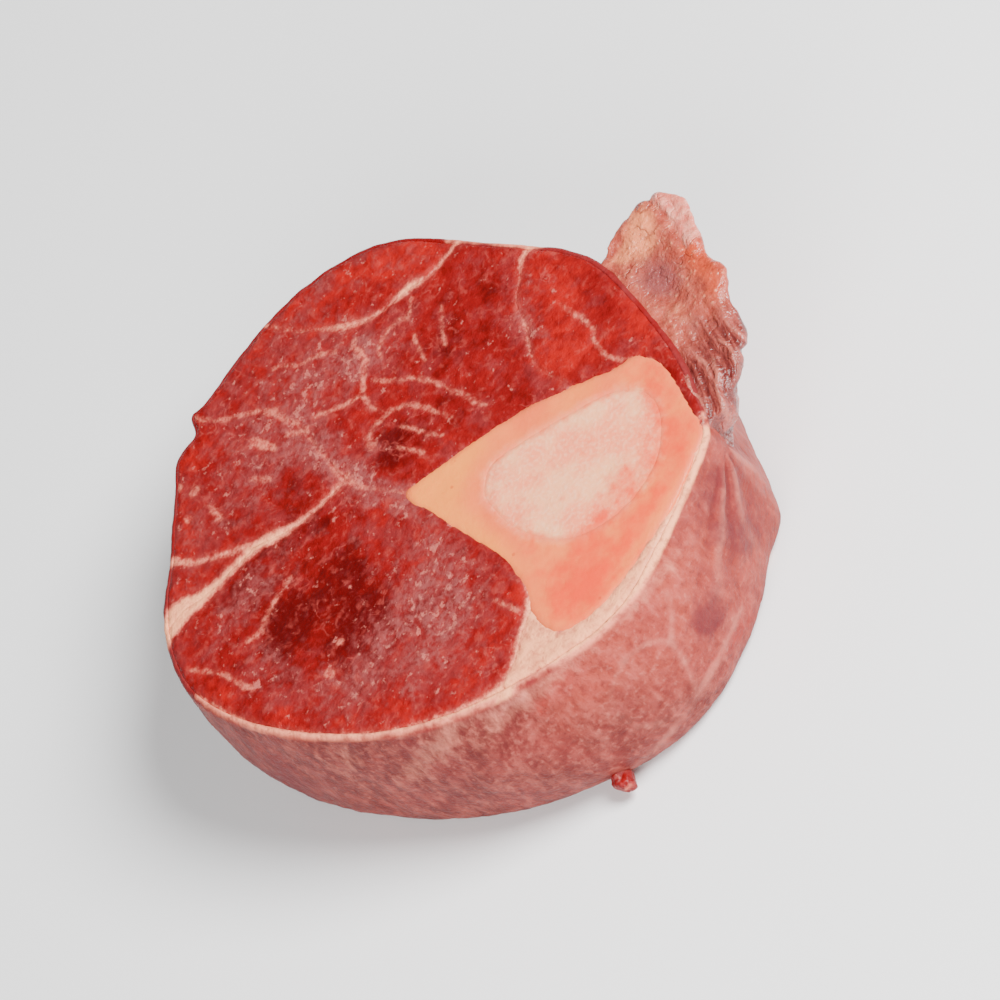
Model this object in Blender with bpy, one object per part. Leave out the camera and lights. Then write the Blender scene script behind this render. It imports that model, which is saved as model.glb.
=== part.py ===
"""Raw beef shank: one cross-cut slice, lying on its lower cut face with the upper cut face showing.

Frame: metres, +Z up, origin under the middle of the slice, on the face it rests on.
The flesh is one solid: a thick disc of muscles in their membrane, whose wall bellies out a little. The seams of
fascia and fat between the muscles run through it and show on both cut faces as shallow grooves. A flap of fat and
tendon stands off the wall beside the bone. The bone, with its spongy core, runs through from face to face.
Outlines are drawn in millimetres on the cut face, +X to the right and +Y away from the bone's side.
"""

import math

import bmesh
import bpy
from mathutils import Vector

MM = 0.001

# Driving dimensions, in millimetres
THICKNESS = 44.0
SEAM_DEPTH = 0.7
CLEARANCE = 0.3
BASE_CORNER = 3.5
RIM_CORNER = 0.7
DRAWING_MIDDLE = (1.17, 9.52)
CUTTER_REACH = 5.0
LEVELS = (1.2, 5.0, 13.0, 23.0, 33.0, THICKNESS - 1.2)

# The rim of the cut face, anticlockwise from the right, with the saw's small step at the far left
RIM = [
    (57, 10), (55.5, 22), (50.5, 33), (45, 43), (40, 52), (34.5, 62), (27, 69.5), (16, 75), (2, 78),
    (-12, 78), (-24, 76.5), (-28.5, 76.8), (-31, 72.3), (-38, 71.5), (-44, 65), (-54.5, 54), (-66, 42.5),
    (-72.5, 30), (-74, 18), (-70.5, 3), (-63, -12.5), (-52.5, -27.5), (-40, -38.5), (-24, -47.5),
    (-8, -54), (6, -55.5), (20, -51.8), (34, -46), (44, -41), (50, -29), (54.5, -12),
]

# The shaft of the bone, a rounded triangle with one side along the membrane
BONE = [
    (-9.5, 12), (-9, 2), (-7.5, -10), (-6.2, -22), (-7.5, -31), (-10.5, -38), (-10, -46), (-4, -50),
    (6, -50.8), (16, -49.8), (27, -47), (37, -43), (43.5, -39.5), (46.5, -30), (49, -19), (46.5, -12),
    (41.5, -9.8), (33, -4), (22, 2.3), (10, 7.3), (0, 10.4), (-5, 12),
]

# The spongy core of the bone
CORE = [
    (1, -7), (0.6, -18), (4, -28), (10, -34.5), (20, -38), (31, -36.5), (39, -30), (42, -22), (38, -14),
    (28, -8.5), (17, -3.5), (8, -0.8), (3.5, -3),
]

# How far the wall bellies out beyond the rim, at equal steps of direction from +X, anticlockwise
BELLY = (1.5, 1.5, 2, 2.5, 2.5, 2.5, 2.5, 3, 3.5, 3.5, 4, 8, 5.8, 2.8, 1.2, 1.2)

# Beside the bone, the wall and the shaft lean in towards the foot, and by the tag the foot spreads: the middle and
# radius of each region, and how far its foot is moved
LEANS = [(44, -30, 40, -4.6, 3.8), (-14, -54, 26, -0.5, -2.8)]

# Seams of fascia and fat between the muscles: points along the middle of each, with half its width
SEAMS = {
    "heel": [
        (-71, 38.5, 2), (-63, 40, 3.1), (-56, 38, 1.2), (-47, 36.8, 0.8), (-40, 35.8, 1.2),
        (-34, 32.6, 1.2), (-26, 30, 0.7), (-15, 29, 1.4),
    ],
    "strap": [(-60, 56, 0.7), (-55, 51.5, 0.9), (-51.5, 46.2, 0.7), (-46, 41.2, 0.7), (-38, 35.5, 0.9)],
    "middle": [
        (-13.5, 51, 0.7), (-14.5, 44, 1), (-15.2, 37, 0.9), (-16, 29, 1.9), (-14.5, 23.5, 1.3),
        (-11.5, 17, 1), (-7.5, 10, 1.2),
    ],
    "outer": [(-29.5, 80, 0.7), (-26, 70.5, 0.7), (-20.5, 65.3, 0.7), (-16, 59, 0.7), (-13.6, 48, 0.7)],
    "crown": [
        (46, 51, 1.8), (38, 50, 0.9), (30, 50.3, 0.8), (26, 52, 1.7), (20, 53.3, 0.8), (14.5, 55.3, 1),
        (9.5, 59.2, 1.3), (5.5, 64.5, 0.8), (1.5, 70, 0.7), (-3, 81, 0.7),
    ],
    "shin": [
        (54, 33.5, 1.4), (47, 32.5, 1.7), (42.5, 28.5, 0.9), (38.5, 25, 0.7), (36, 18.5, 0.7),
        (32.6, 13, 0.7), (30.7, 7, 0.7), (33, -6, 0.7),
    ],
    "rim_fat": [(38.5, 55, 1.8), (44.8, 45, 2.6), (48, 38.5, 2.8), (53, 29, 1.6)],
    "wedge": [(-6.5, -30, 0.7), (-11, -37.5, 1.2), (-14, -43.5, 3.4), (-21, -48.5, 4.4), (-33, -47.5, 3.4)],
    "bone_side": [
        (-14, -51, 3.5), (0, -54, 4.2), (14, -52.5, 3.8), (28, -48.5, 3.4), (40, -43.5, 3), (47, -38.5, 2),
    ],
}

# The flap of fat and tendon, from its lower end to its tip: where it leaves the rim, how far out it reaches,
# the height of its outer edge and the height where its underside meets the wall
FLAP = [
    (42, -42.3, 45.4, -43.8, 36, 30), (45.5, -39, 50.4, -41, 39, 27), (48, -34.5, 55.4, -37.2, 41.5, 23),
    (50, -29.5, 62, -32.6, 42.5, 19), (51.5, -24.5, 67.6, -27, 42, 16), (53, -18.5, 70, -20.5, 43.5, 16),
    (54, -13, 74, -14, 44.5, 17), (55, -8, 73, -8.5, 43.5, 19), (56, -3, 75.5, -3, 44.5, 21),
    (56.6, 2, 79, 3, 45.5, 23), (57, 7, 79.5, 9.5, 45.5, 27), (56.8, 11, 74.5, 16.5, 44.5, 32),
    (56.3, 14.5, 64, 17.5, 42.5, 37),
]
FLAP_ROOT = 3.0
FLAP_TOP = 42.6
FLAP_EDGE = 2.4

# A small tag of meat that hangs out under the membrane
TAG = (-24.5, -52.4, 4.6, 2.8, 5.6, 3.4)

# Colour, roughness of each material
LOOKS = {
    "meat": ((0.33, 0.022, 0.022, 1), 0.38),
    "bone": ((0.8, 0.5, 0.33, 1), 0.45),
    "marrow": ((0.85, 0.5, 0.4, 1), 0.5),
}


def clear_scene():
    for obj in list(bpy.data.objects):
        bpy.data.objects.remove(obj, do_unlink=True)


def new_collection(name):
    collection = bpy.data.collections.new(name)
    bpy.context.scene.collection.children.link(collection)
    return collection


def material(name):
    """A Principled material with the named look."""
    if name in bpy.data.materials:
        return bpy.data.materials[name]
    colour, roughness = LOOKS[name]
    made = bpy.data.materials.new(name)
    made.use_nodes = True
    shader = made.node_tree.nodes["Principled BSDF"]
    shader.inputs["Base Color"].default_value = colour
    shader.inputs["Roughness"].default_value = roughness
    shader.inputs["Metallic"].default_value = 0.0
    made.diffuse_color = colour
    return made


def between(a, b, c, d, t):
    """A point of the smooth curve from b to c, a share t of the way along."""
    return tuple(
        0.5 * (2 * q + (r - p) * t + (2 * p - 5 * q + 4 * r - s) * t * t + (3 * q - p - 3 * r + s) * t**3)
        for p, q, r, s in zip(a, b, c, d)
    )


def smooth_loop(points, steps):
    """A closed smooth curve through the points."""
    n = len(points)
    return [
        between(points[i - 1], points[i], points[(i + 1) % n], points[(i + 2) % n], k / steps)
        for i in range(n)
        for k in range(steps)
    ]


def smooth_path(points, steps):
    """An open smooth curve through the points, which also smooths any third value that they carry."""
    ends = [points[0], *points, points[-1]]
    curve = [
        between(*ends[i : i + 4], k / steps)
        for i in range(len(points) - 1)
        for k in range(steps)
    ]
    return [*curve, points[-1]]


def side_way(before, after):
    """The unit vector to the right of the way from one point to another."""
    way = Vector((after[0] - before[0], after[1] - before[1])).normalized()
    return Vector((way.y, -way.x))


def grown(outline, distance):
    """A closed anticlockwise outline, moved outwards all round."""
    n = len(outline)
    moved = []
    for i, point in enumerate(outline):
        out = side_way(outline[i - 1], outline[(i + 1) % n])
        moved.append((point[0] + out.x * distance, point[1] + out.y * distance))
    return moved


def ribbon(points, steps=2):
    """The outline of a seam, anticlockwise, from its middle line and half-widths."""
    path = smooth_path(points, steps)
    right, left = [], []
    for i, (x, y, half) in enumerate(path):
        out = side_way(path[max(i - 1, 0)], path[min(i + 1, len(path) - 1)])
        right.append((x + out.x * half, y + out.y * half))
        left.append((x - out.x * half, y - out.y * half))
    return right + left[::-1]


def in_frame(x, y, z=0.0):
    """A point of the drawing, in metres and about the middle of the slice."""
    return Vector(((x - DRAWING_MIDDLE[0]) * MM, (y - DRAWING_MIDDLE[1]) * MM, z * MM))


def as_mesh(obj, name):
    """A mesh object in place of a curve, or of an object with modifiers, with its caps welded."""
    evaluated = obj.evaluated_get(bpy.context.evaluated_depsgraph_get())
    mesh = bpy.data.meshes.new_from_object(evaluated)
    mesh.transform(obj.matrix_world)
    work = bmesh.new()
    work.from_mesh(mesh)
    bmesh.ops.remove_doubles(work, verts=work.verts, dist=1e-6)
    bmesh.ops.recalc_face_normals(work, faces=work.faces)
    work.to_mesh(mesh)
    work.free()
    bpy.data.objects.remove(obj, do_unlink=True)
    made = bpy.data.objects.new(name, mesh)
    WORKSHOP.objects.link(made)
    return made


def plate(name, outline, low, high):
    """A flat outline with thickness, from the height low to high."""
    curve = bpy.data.curves.new(name + "_outline", "CURVE")
    curve.dimensions = "2D"
    curve.fill_mode = "BOTH"
    curve.extrude = (high - low) / 2 * MM
    spline = curve.splines.new("POLY")
    spline.points.add(len(outline) - 1)
    for point, (x, y) in zip(spline.points, outline):
        point.co = (*in_frame(x, y), 1.0)
    spline.use_cyclic_u = True
    obj = bpy.data.objects.new(name + "_outline", curve)
    obj.location.z = (low + high) / 2 * MM
    WORKSHOP.objects.link(obj)
    bpy.context.view_layer.update()
    return as_mesh(obj, name)


def lump(name, size):
    """An ellipsoid: middle and half-widths."""
    x, y, z, half_x, half_y, half_z = size
    bpy.ops.mesh.primitive_ico_sphere_add(subdivisions=2, radius=1.0, location=in_frame(x, y, z))
    obj = bpy.context.object
    obj.scale = (half_x * MM, half_y * MM, half_z * MM)
    bpy.context.view_layer.update()
    return as_mesh(obj, name)


def combine(target, other, operation):
    """Joins another solid to the target, or cuts the target with it, and removes the other."""
    name = target.name
    boolean = target.modifiers.new(operation.lower(), "BOOLEAN")
    boolean.operation = operation
    boolean.solver = "EXACT"
    boolean.object = other
    bpy.context.view_layer.update()
    target.name = name + "_before"
    made = as_mesh(target, name)
    bpy.data.objects.remove(other, do_unlink=True)
    return made


def belly_at(angle):
    """How far the wall bellies out in a direction, in millimetres."""
    share = (angle / math.tau % 1.0) * len(BELLY)
    i = int(share)
    ease = (1 - math.cos((share - i) * math.pi)) / 2
    return BELLY[i % len(BELLY)] * (1 - ease) + BELLY[(i + 1) % len(BELLY)] * ease


def wall_offset(angle, height):
    """The wall's place outside the rim line at a height: its belly, less its two rounded corners."""
    share = min(max(height / THICKNESS, 0.0), 1.0)
    offset = belly_at(angle) * math.sin(math.pi * share**0.8) ** 0.7
    if 0 <= height < BASE_CORNER:
        offset -= BASE_CORNER - math.sqrt(BASE_CORNER**2 - (BASE_CORNER - height) ** 2)
    if height > THICKNESS - RIM_CORNER:
        offset -= RIM_CORNER
    return offset


def drawn(point):
    """A point of the frame, back on the drawing."""
    return point.x / MM + DRAWING_MIDDLE[0], point.y / MM + DRAWING_MIDDLE[1]


def cut_levels(obj):
    """Cuts the wall at the heights where it bends."""
    work = bmesh.new()
    work.from_mesh(obj.data)
    for level in LEVELS:
        everything = work.verts[:] + work.edges[:] + work.faces[:]
        bmesh.ops.bisect_plane(work, geom=everything, dist=1e-7, plane_co=(0, 0, level * MM), plane_no=(0, 0, 1))
    work.to_mesh(obj.data)
    work.free()


def swell(obj):
    """Moves the wall out to the belly."""
    for vertex in obj.data.vertices:
        x, y = drawn(vertex.co)
        angle = math.atan2(y - FACE_MIDDLE[1], x - FACE_MIDDLE[0])
        offset = wall_offset(angle, vertex.co.z / MM) * MM
        vertex.co.x += math.cos(angle) * offset
        vertex.co.y += math.sin(angle) * offset


def lean(obj):
    """Slants a solid below the upper cut face, in the leaning regions only."""
    for vertex in obj.data.vertices:
        x, y = drawn(vertex.co)
        below = 1 - vertex.co.z / MM / THICKNESS
        for middle_x, middle_y, radius, shift_x, shift_y in LEANS:
            gap = math.hypot(x - middle_x, y - middle_y) / radius
            share = max(0.0, 1 - gap * gap) ** 2 * below
            vertex.co.x += shift_x * share * MM
            vertex.co.y += shift_y * share * MM


def finish(obj, look):
    """Leans a solid and puts it in the shown collection, with its material and smooth shading over soft edges."""
    lean(obj)
    obj.data.materials.clear()
    obj.data.materials.append(material(look))
    obj.data.shade_smooth()
    obj.data.set_sharp_from_angle(angle=math.radians(35))
    for collection in list(obj.users_collection):
        collection.objects.unlink(obj)
    SLICE.objects.link(obj)


def flap_section(station):
    """One slice through the flap, from its root inside the wall round its thin outer edge and back below."""
    root_x, root_y, tip_x, tip_y, tip_z, low_z = station
    way = Vector((tip_x - root_x, tip_y - root_y))
    inward = way.normalized() * FLAP_ROOT
    profile = [
        (-inward, FLAP_TOP), (way * 0.3, FLAP_TOP), (way * 0.7, (FLAP_TOP + tip_z) / 2 + 0.6), (way * 0.95, tip_z),
        (way, tip_z - FLAP_EDGE / 2), (way * 0.94, tip_z - FLAP_EDGE),
        (way * 0.6, tip_z * 0.72 + low_z * 0.28 - FLAP_EDGE), (way * 0.25, tip_z * 0.38 + low_z * 0.62 - FLAP_EDGE / 2),
        (-inward, low_z),
    ]
    return [in_frame(root_x + step.x, root_y + step.y, height) for step, height in profile]


def make_flap():
    """The flap as a loft through its sections, with both ends closed."""
    work = bmesh.new()
    rings = [[work.verts.new(point) for point in flap_section(station)] for station in smooth_path(FLAP, 2)]
    for ring, following in zip(rings, rings[1:]):
        for i in range(len(ring)):
            j = (i + 1) % len(ring)
            work.faces.new((ring[i], ring[j], following[j], following[i]))
    work.faces.new(rings[0][::-1])
    work.faces.new(rings[-1])
    bmesh.ops.triangulate(work, faces=work.faces)
    bmesh.ops.recalc_face_normals(work, faces=work.faces)
    mesh = bpy.data.meshes.new("flap")
    work.to_mesh(mesh)
    work.free()
    flap = bpy.data.objects.new("flap", mesh)
    WORKSHOP.objects.link(flap)
    return flap


def make_flesh():
    """The disc of muscles with its flap and tag, the hole that the bone fills, and the seams on both faces."""
    flesh = plate("flesh", RIM_LINE, 0.0, THICKNESS)
    cut_levels(flesh)
    swell(flesh)
    flesh = combine(flesh, make_flap(), "UNION")
    flesh = combine(flesh, lump("tag", TAG), "UNION")
    hole = plate("hole", grown(BONE_LINE, CLEARANCE), -CUTTER_REACH, THICKNESS + CUTTER_REACH)
    flesh = combine(flesh, hole, "DIFFERENCE")
    for seam, points in SEAMS.items():
        outline = ribbon(points)
        flesh = combine(flesh, plate(seam, outline, -CUTTER_REACH, SEAM_DEPTH), "DIFFERENCE")
        flesh = combine(flesh, plate(seam, outline, THICKNESS - SEAM_DEPTH, THICKNESS + CUTTER_REACH), "DIFFERENCE")
    finish(flesh, "meat")


def make_bone():
    bone = plate("bone", BONE_LINE, 0.0, THICKNESS)
    core_line = smooth_loop(CORE, 3)
    bone = combine(bone, plate("core_hole", core_line, -CUTTER_REACH, THICKNESS + CUTTER_REACH), "DIFFERENCE")
    finish(bone, "bone")
    marrow = plate("marrow", grown(core_line, -CLEARANCE), 0.0, THICKNESS)
    finish(marrow, "marrow")


clear_scene()
SLICE = new_collection("raw_beef_shank")
WORKSHOP = new_collection("workshop")
RIM_LINE = smooth_loop(RIM, 3)
BONE_LINE = smooth_loop(BONE, 3)
FACE_MIDDLE = tuple(sum(values) / len(RIM_LINE) for values in zip(*RIM_LINE))

make_flesh()
make_bone()
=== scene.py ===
# %% [markdown]
# # Raw beef shank
# A butcher saws across the shin of a beef leg and gets a round slice with a marrow bone in it. Round it lie
# long muscles, each in a thin skin of fascia. A tough pink membrane holds them together and is the wall of
# the slice. Sizes are in millimetres on the cut face and become metres where a mesh is made.

# %% Tools and the solid model
import math

import bmesh
import bpy
import numpy as np
from mathutils import Matrix, Vector, noise


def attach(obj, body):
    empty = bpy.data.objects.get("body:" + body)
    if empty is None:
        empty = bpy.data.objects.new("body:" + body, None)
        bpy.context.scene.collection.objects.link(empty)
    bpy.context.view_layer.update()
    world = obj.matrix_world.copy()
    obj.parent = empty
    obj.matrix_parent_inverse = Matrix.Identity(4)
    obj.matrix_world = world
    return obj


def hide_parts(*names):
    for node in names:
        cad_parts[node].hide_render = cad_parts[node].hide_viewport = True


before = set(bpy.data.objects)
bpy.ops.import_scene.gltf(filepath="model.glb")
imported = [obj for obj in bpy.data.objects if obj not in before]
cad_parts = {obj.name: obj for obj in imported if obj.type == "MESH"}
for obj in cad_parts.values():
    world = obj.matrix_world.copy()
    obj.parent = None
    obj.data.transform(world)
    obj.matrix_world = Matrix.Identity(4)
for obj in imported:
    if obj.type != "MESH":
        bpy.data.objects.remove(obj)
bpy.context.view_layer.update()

# %% [markdown]
# ## Sizes and outlines
# The slice is 44 mm thick. Its outline, the bone, the spongy core and the seams between the muscles are
# drawn as points on the upper cut face, +X to the right and +Y away from the bone. A seam's third number is
# half its width.

# %% Sizes and outlines
MM = 0.001
THICK = 44.0
BASE_CORNER = 3.5
RIM_CORNER = 0.7
MIDDLE = (1.17, 9.52, 0.0)
OVERSHOOT = 5.0

RIM = [
    (57, 10), (55.5, 22), (50.5, 33), (45, 43), (40, 52), (34.5, 62), (27, 69.5), (16, 75), (2, 78),
    (-12, 78), (-24, 76.5), (-28.5, 76.8), (-31, 72.3), (-38, 71.5), (-44, 65), (-54.5, 54), (-66, 42.5),
    (-72.5, 30), (-74, 18), (-70.5, 3), (-63, -12.5), (-52.5, -27.5), (-40, -38.5), (-24, -47.5), (-8, -54),
    (6, -55.5), (20, -51.8), (34, -46), (44, -41), (50, -29), (54.5, -12),
]
BONE = [
    (-9.5, 12), (-9, 2), (-7.5, -10), (-6.2, -22), (-7.5, -31), (-10.5, -38), (-10, -46), (-4, -50),
    (6, -50.8), (16, -49.8), (27, -47), (37, -43), (43.5, -39.5), (46.5, -30), (49, -19), (46.5, -12),
    (41.5, -9.8), (33, -4), (22, 2.3), (10, 7.3), (0, 10.4), (-5, 12),
]
CORE = [
    (1, -7), (0.6, -18), (4, -28), (10, -34.5), (20, -38), (31, -36.5), (39, -30), (42, -22), (38, -14),
    (28, -8.5), (17, -3.5), (8, -0.8), (3.5, -3),
]
BELLY = (1.5, 1.5, 2, 2.5, 2.5, 2.5, 2.5, 3, 3.5, 3.5, 4, 8, 5.8, 2.8, 1.2, 1.2)
LEANS = [(44, -30, 40, -4.6, 3.8), (-14, -54, 26, -0.5, -2.8)]

SEAMS = {
    "heel": [
        (-71, 38.5, 2.4), (-63, 40, 3.4), (-56, 38, 1.8), (-47, 36.8, 1.2), (-40, 35.8, 1.6),
        (-34, 32.6, 1.3), (-26, 30, 0.4), (-15, 29, 0.7),
    ],
    "strap": [(-60, 56, 0.5), (-55, 51.5, 0.8), (-51.5, 46.2, 0.5), (-46, 41.2, 0.6), (-36.8, 34, 0.8)],
    "middle": [
        (-13.5, 51, 0), (-14.5, 44, 0.3), (-15.2, 37, 0.3), (-16, 29, 0.8), (-14.5, 23.5, 0.4),
        (-11.5, 17, 0.2), (-7.5, 10, 0.4),
    ],
    "outer": [(-29.5, 80, 0.4), (-26, 70.5, 0.3), (-20.5, 65.3, 0.3), (-16, 59, 0.4), (-13.6, 48, 0.5)],
    "crown": [
        (46, 51, 1.1), (38, 50, 0.4), (30, 50.3, 0.5), (26, 52, 1.3), (20, 53.3, 0.3), (14.5, 55.3, 0.4),
        (9.5, 59.2, 0.8), (5.5, 64.5, 0.2), (1.5, 70, 0), (-3, 81, -0.2),
    ],
    "shin": [
        (54, 33.5, 0.7), (47, 32.5, 0.7), (42.5, 28.5, 0), (38.5, 25, -0.1), (36, 18.5, 0.2),
        (32.6, 13, -0.1), (30.7, 7, -0.2), (33, -6, -0.3),
    ],
    "wedge_edge": [
        (-4, -27, 0.4), (-8.2, -33, 0.5), (-11, -36.6, 0.8), (-17, -40, 0.9), (-23, -43.8, 0.9),
        (-34, -47, 0.6),
    ],
    "strip_edge": [(43, -36.5, 0.5), (54, -40, 0.5)],
}
print(len(SEAMS), "seams")

# %% [markdown]
# ## Curves through the points
# A butcher's cut has no corners, so every outline is a smooth curve through its points. The helpers grow an
# outline sideways, turn a seam into a ribbon, and move from the drawing to the model's frame.

# %% Curves through the points
def between(a, b, c, d, t):
    return tuple(
        0.5 * (2 * q + (r - p) * t + (2 * p - 5 * q + 4 * r - s) * t * t + (3 * q - p - 3 * r + s) * t**3)
        for p, q, r, s in zip(a, b, c, d)
    )


def smooth_loop(points, steps):
    n = len(points)
    return [
        between(points[i - 1], points[i], points[(i + 1) % n], points[(i + 2) % n], k / steps)
        for i in range(n)
        for k in range(steps)
    ]


def smooth_path(points, steps):
    ends = [points[0], *points, points[-1]]
    spans = range(len(points) - 1)
    return [*(between(*ends[i : i + 4], k / steps) for i in spans for k in range(steps)), points[-1]]


def side_way(before, after):
    way = Vector((after[0] - before[0], after[1] - before[1])).normalized()
    return Vector((way.y, -way.x))


def grown(outline, distance):
    n = len(outline)
    out = [side_way(outline[i - 1], outline[(i + 1) % n]) for i in range(n)]
    return [(x + way.x * distance, y + way.y * distance) for (x, y), way in zip(outline, out)]


def slit(points, half, reach=2.5):
    """A narrow ribbon along a seam, drawn out at both ends."""
    path = [Vector(point[:2]) for point in smooth_path(points, 4)]
    start = path[0] + (path[0] - path[1]).normalized() * reach
    end = path[-1] + (path[-1] - path[-2]).normalized() * reach
    path = [start, *path, end]
    ways = [side_way(path[max(i - 1, 0)], path[min(i + 1, len(path) - 1)]) for i in range(len(path))]
    near_side = [tuple(p + w * half) for p, w in zip(path, ways)]
    far_side = [tuple(p - w * half) for p, w in zip(path, ways)]
    return near_side + far_side[::-1]


def in_frame(x, y, z=0.0):
    return Vector(((x - MIDDLE[0]) * MM, (y - MIDDLE[1]) * MM, z * MM))


def each_point(piece, what):
    """One vector for every point of a mesh, such as its normal."""
    flat = np.empty(len(piece.data.vertices) * 3)
    piece.data.vertices.foreach_get(what, flat)
    return flat.reshape(-1, 3)


def drawn(piece):
    """All points of a mesh, in millimetres on the drawing."""
    return each_point(piece, "co") / MM + MIDDLE


def put_back(piece, points):
    piece.data.vertices.foreach_set("co", ((points - MIDDLE) * MM).ravel())
    piece.data.update()


rim_line = smooth_loop(RIM, 4)
bone_line = smooth_loop(BONE, 4)
core_line = smooth_loop(CORE, 4)
face_middle = np.mean(smooth_loop(RIM, 3), axis=0)
print("rim", len(rim_line), "points round", face_middle.round(1))

# %% [markdown]
# ## Solid pieces from outlines
# Each piece starts as a disc whose rim is moved on to its outline, and is then drawn up to its height. A
# fine, even skin over it gives the relief of wet meat something to work on.

# %% Solid pieces from outlines
def mode(name):
    bpy.ops.object.mode_set(mode=name)


def alone(piece):
    bpy.ops.object.select_all(action="DESELECT")
    piece.select_set(True)
    bpy.context.view_layer.objects.active = piece
    return piece


def prism(name, outline, low, high):
    bpy.ops.mesh.primitive_circle_add(vertices=len(outline), radius=0.05, fill_type="NGON")
    piece = bpy.context.object
    piece.name = piece.data.name = name
    for vertex, (x, y) in zip(piece.data.vertices, outline):
        vertex.co = in_frame(x, y, low)
    mode("EDIT")
    bpy.ops.mesh.select_all(action="SELECT")
    bpy.ops.mesh.extrude_region_move(TRANSFORM_OT_translate={"value": (0, 0, (high - low) * MM)})
    bpy.ops.mesh.select_all(action="SELECT")
    bpy.ops.mesh.normals_make_consistent(inside=False)
    mode("OBJECT")
    return piece


def apply(piece, kind, **settings):
    modifier = alone(piece).modifiers.new(kind.lower(), kind)
    for name, value in settings.items():
        setattr(modifier, name, value)
    bpy.ops.object.modifier_apply(modifier=modifier.name)


def cut_out(piece, name, outline):
    """Cuts an outline out of a piece, from face to face."""
    cutter = prism(name, outline, -OVERSHOOT, THICK + OVERSHOOT)
    apply(piece, "BOOLEAN", operation="DIFFERENCE", solver="EXACT", object=cutter)
    bpy.data.objects.remove(cutter, do_unlink=True)


def linked(name, data):
    made = bpy.data.objects.new(name, data)
    bpy.context.scene.collection.objects.link(made)
    return made


def fine_skin(piece, voxel):
    apply(piece, "REMESH", mode="VOXEL", voxel_size=voxel * MM, adaptivity=0.0)
    apply(piece, "SMOOTH", factor=0.5, iterations=4)
    piece.data.shade_smooth()
    print(piece.name, len(piece.data.polygons), "faces")


# %% [markdown]
# ## The wall's belly
# The meat isn't held at its sides, so it swells between the two cut faces, most at the lower left. The foot
# of the wall is rounded, where the weight of the slice presses it on to the board.

# %% The wall's belly
def turn_of(points):
    return np.arctan2(points[:, 1] - face_middle[1], points[:, 0] - face_middle[0])


def reach_of(points):
    return np.hypot(points[:, 0] - face_middle[0], points[:, 1] - face_middle[1])


def push_out(points, move):
    """Moves points away from the middle of the face."""
    turn = turn_of(points)
    points[:, 0] += np.cos(turn) * move
    points[:, 1] += np.sin(turn) * move


def belly_at(turn):
    share = (turn / math.tau % 1.0) * len(BELLY)
    i = share.astype(int)
    ease = (1 - np.cos((share - i) * np.pi)) / 2
    belly = np.array(BELLY)
    return belly[i % len(belly)] * (1 - ease) + belly[(i + 1) % len(belly)] * ease


def wall_offset(turn, height):
    share = np.clip(height / THICK, 0, 1)
    offset = belly_at(turn) * np.sin(np.pi * share**0.8) ** 0.7
    foot = np.clip(BASE_CORNER - height, 0, BASE_CORNER)
    offset -= BASE_CORNER - np.sqrt(BASE_CORNER**2 - foot**2)
    return offset - RIM_CORNER * (height > THICK - RIM_CORNER)


def lean(piece):
    """Slants the foot: inwards beside the bone, where wall and shaft lean in, and outwards by the tag."""
    points = drawn(piece)
    moved = points.copy()
    for middle_x, middle_y, radius, shift_x, shift_y in LEANS:
        gap = np.hypot(points[:, 0] - middle_x, points[:, 1] - middle_y) / radius
        share = np.clip(1 - gap * gap, 0, None) ** 2 * (1 - points[:, 2] / THICK)
        moved[:, :2] += share[:, None] * (shift_x, shift_y)
    put_back(piece, moved)


def rim_reach(turn):
    line = np.array(smooth_loop(RIM, 12)) - face_middle
    turns = np.arctan2(line[:, 1], line[:, 0])
    order = np.argsort(turns)
    return np.interp(turn, turns[order], np.hypot(*line.T)[order], period=math.tau)


def line_distance(points, path):
    """Distance from each point to a path, less the path's half-width where it carries one."""
    nearest = np.full(len(points), 1e9)
    for a, b in zip(path, path[1:]):
        start, way = np.array(a[:2]), np.subtract(b[:2], a[:2])
        along = np.clip((points - start) @ way / max(way @ way, 1e-9), 0, 1)
        gap = np.hypot(*(points - start - along[:, None] * way).T)
        if len(a) > 2:
            gap = gap - (a[2] + along * (b[2] - a[2]))
        nearest = np.minimum(nearest, gap)
    return nearest


def outline_distance(points, line):
    return line_distance(points[:, :2], line + line[:1])


def nearest_line(flat, lines, steps=3):
    return np.minimum.reduce([line_distance(flat, smooth_path(line, steps)) for line in lines])


def inside(points, line):
    """Which points lie within a closed outline."""
    x, y = points.T
    crossed = np.zeros(len(points), int)
    for (ax, ay), (bx, by) in zip(line, line[1:] + line[:1]):
        spans = (ay > y) != (by > y)
        crossed += spans & (x < (bx - ax) * (y - ay) / (by - ay if by != ay else 1e-9) + ax)
    return crossed % 2 == 1


def smoothstep(value, low, high):
    share = np.clip((value - low) / (high - low), 0, 1)
    return share * share * (3 - 2 * share)


def fatten(piece, amount):
    """Moves the side walls outwards, so that neighbours press into each other and no gap shows."""
    points = drawn(piece)
    points[:, :2] += amount * each_point(piece, "normal")[:, :2]
    put_back(piece, points)


def swell(piece, inset):
    """Follows the belly of the wall, well inside the membrane but close to it at the two faces."""
    points = drawn(piece)
    below = smoothstep(points[:, 2], THICK - 4, THICK - 1.2)
    inset = inset + 1.2 * smoothstep(points[:, 2], 0.8, 4) * (1 - below)
    turn = turn_of(points)
    weight = smoothstep(reach_of(points) / rim_reach(turn), 0.86, 0.985)
    weight *= smoothstep(outline_distance(points, bone_line), 0.4, 3.0)
    push_out(points, (wall_offset(turn, points[:, 2]) - inset) * weight)
    put_back(piece, points)


# %% [markdown]
# ## Muscles
# The slice is one disc first. The bone's hole is cut from it, and then a slit along every seam parts it into
# the muscles, as a boning knife would.

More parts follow.
